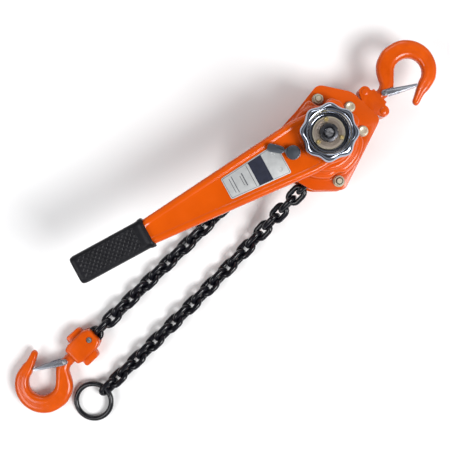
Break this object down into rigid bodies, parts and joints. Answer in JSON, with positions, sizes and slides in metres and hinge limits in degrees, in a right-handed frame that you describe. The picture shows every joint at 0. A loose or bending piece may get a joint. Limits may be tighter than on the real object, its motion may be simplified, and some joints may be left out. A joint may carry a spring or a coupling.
{
  "type": "lever chain hoist",
  "caption": "Manual lever hoist: a ratchet lever and screw brake turn a geared chain sheave between two plates, with a swivel hook on top and another on the load chain.",
  "frame": {"origin": "where the drive axis meets the surface that the gear cover lies on", "axes": "+Z along the drive axis, from the gear cover to the hand wheel; +Y along the frame, to the top hook"},
  "size_m": [0.151, 0.6083, 0.148],
  "materials": {
    "orange_paint": "gloss orange enamel",
    "chrome": "polished chrome plate",
    "zinc": "yellow zinc plate",
    "steel": "turned steel",
    "gear_steel": "hardened gear steel",
    "black_chain": "black oxide finish",
    "black_rubber": "moulded black rubber",
    "bronze": "plain bearing bronze",
    "brake_lining": "resin bonded friction lining",
    "plate_aluminium": "printed aluminium sheet"
  },
  "bodies": {
    "frame": {"gear_side_plate": "orange_paint", "brake_side_plate": "orange_paint", "gear_cover": "orange_paint", "brake_cover": "orange_paint", "stay_bolt_1": "zinc", "stay_bolt_2": "zinc", "stay_nut_1": "zinc", "stay_nut_2": "zinc", "stay_rivet_1": "zinc", "stay_rivet_2": "zinc", "stay_rivet_3": "zinc", "top_pin": "steel", "chain_guide": "gear_steel", "chain_stripper": "gear_steel", "sheave_bush_gear": "bronze", "sheave_bush_brake": "bronze", "bearing_plate": "bronze", "pawl_pin_1": "steel", "pawl_pin_2": "steel", "chain_on_sheave": "black_chain", "load_chain": "black_chain", "slack_chain": "black_chain", "load_end_link": "black_chain", "slack_end_link": "black_chain"},
    "lever": {"lever_front_shell": "orange_paint", "lever_back_shell": "orange_paint", "lever_grip": "black_rubber", "name_plate": "plate_aluminium"},
    "selector": {"selector_lever": "steel", "selector_shaft": "steel", "changeover_pawl": "steel"},
    "drive": {"drive_shaft": "steel", "brake_hub": "steel", "change_gear": "gear_steel", "hand_wheel": "chrome", "retaining_plate": "bronze", "shaft_nut": "steel"},
    "ratchet": {"ratchet_disc": "steel", "friction_disc_inner": "brake_lining", "friction_disc_outer": "brake_lining"},
    "pawl_1": {"pawl_1": "steel"},
    "pawl_2": {"pawl_2": "steel"},
    "idler_1": {"idler_pinion_1": "gear_steel", "idler_wheel_1": "gear_steel"},
    "idler_2": {"idler_pinion_2": "gear_steel", "idler_wheel_2": "gear_steel"},
    "sheave": {"load_sheave": "gear_steel", "load_gear": "gear_steel"},
    "top_yoke": {"top_yoke_front": "orange_paint", "top_yoke_back": "orange_paint"},
    "top_hook": {"top_hook": "orange_paint"},
    "top_latch": {"top_latch": "chrome", "top_latch_pin": "steel"},
    "bottom_block": {"bottom_block_front": "orange_paint", "bottom_block_back": "orange_paint", "chain_pin": "steel"},
    "bottom_hook": {"bottom_hook": "orange_paint"},
    "bottom_latch": {"bottom_latch": "chrome", "bottom_latch_pin": "steel"},
    "end_ring": {"end_ring": "black_chain"}
  },
  "joints": [
    {"name": "lever_turn", "type": "hinge", "parent": "frame", "child": "lever", "pos_m": [0, 0, 0.114], "axis": [0, 0, 1], "continuous": true},
    {"name": "selector_turn", "type": "hinge", "parent": "lever", "child": "selector", "pos_m": [-0.01084, -0.03882, 0.12], "axis": [0, 0, 1], "range_deg": [0, 81.6]},
    {"name": "drive_turn", "type": "hinge", "parent": "frame", "child": "drive", "pos_m": [0, 0, 0.1], "axis": [0, 0, 1], "continuous": true},
    {"name": "ratchet_turn", "type": "hinge", "parent": "frame", "child": "ratchet", "pos_m": [0, 0, 0.0846], "axis": [0, 0, 1], "range_deg": [0, 18]},
    {"name": "pawl_1_lift", "type": "hinge", "parent": "frame", "child": "pawl_1", "pos_m": [0.0312, 0, 0.0846], "axis": [0, 0, 1], "range_deg": [-15.3, 0]},
    {"name": "pawl_2_lift", "type": "hinge", "parent": "frame", "child": "pawl_2", "pos_m": [-0.0312, 0, 0.0846], "axis": [0, 0, 1], "range_deg": [-15.3, 0]},
    {"name": "idler_1_turn", "type": "hinge", "parent": "frame", "child": "idler_1", "pos_m": [0.01907, 0.00601, 0.015], "axis": [0, 0, 1], "continuous": true},
    {"name": "idler_2_turn", "type": "hinge", "parent": "frame", "child": "idler_2", "pos_m": [-0.01907, -0.00601, 0.015], "axis": [0, 0, 1], "continuous": true},
    {"name": "sheave_turn", "type": "hinge", "parent": "frame", "child": "sheave", "pos_m": [0, 0, 0.05], "axis": [0, 0, 1], "continuous": true},
    {"name": "top_yoke_swing", "type": "hinge", "parent": "frame", "child": "top_yoke", "pos_m": [0.0105, 0.05, 0.05], "axis": [0, 0, 1], "range_deg": [-30, 30]},
    {"name": "top_hook_swivel", "type": "hinge", "parent": "top_yoke", "child": "top_hook", "pos_m": [0.0105, 0.09, 0.05], "axis": [0, 1, 0], "continuous": true},
    {"name": "top_latch_open", "type": "hinge", "parent": "top_hook", "child": "top_latch", "pos_m": [0.012, 0.0877, 0.05], "axis": [0, 0, 1], "range_deg": [0, 35], "stiffness_Nm_per_rad": 0.05, "springref_deg": -17.19},
    {"name": "bottom_block_swing", "type": "hinge", "parent": "frame", "child": "bottom_block", "pos_m": [-0.0205, -0.3425, 0.013], "axis": [0, 0, 1], "range_deg": [-30, 0]},
    {"name": "bottom_hook_swivel", "type": "hinge", "parent": "bottom_block", "child": "bottom_hook", "pos_m": [-0.0205, -0.38, 0.013], "axis": [0, 1, 0], "continuous": true},
    {"name": "bottom_latch_open", "type": "hinge", "parent": "bottom_hook", "child": "bottom_latch", "pos_m": [-0.022, -0.381, 0.013], "axis": [0, 0, 1], "range_deg": [0, 35], "stiffness_Nm_per_rad": 0.05, "springref_deg": -17.19},
    {"name": "end_ring_swing", "type": "hinge", "parent": "frame", "child": "end_ring", "pos_m": [0.0339, -0.3714, 0.0094], "axis": [-1, 0, 0], "range_deg": [0, 120]}
  ],
  "couplings": [
    {"joint": "pawl_1_lift", "follows": "ratchet_turn", "ratio": -0.85},
    {"joint": "pawl_2_lift", "follows": "ratchet_turn", "ratio": -0.85},
    {"joint": "idler_1_turn", "follows": "drive_turn", "ratio": -0.3913},
    {"joint": "idler_2_turn", "follows": "drive_turn", "ratio": -0.3913},
    {"joint": "sheave_turn", "follows": "drive_turn", "ratio": 0.17787}
  ]
}
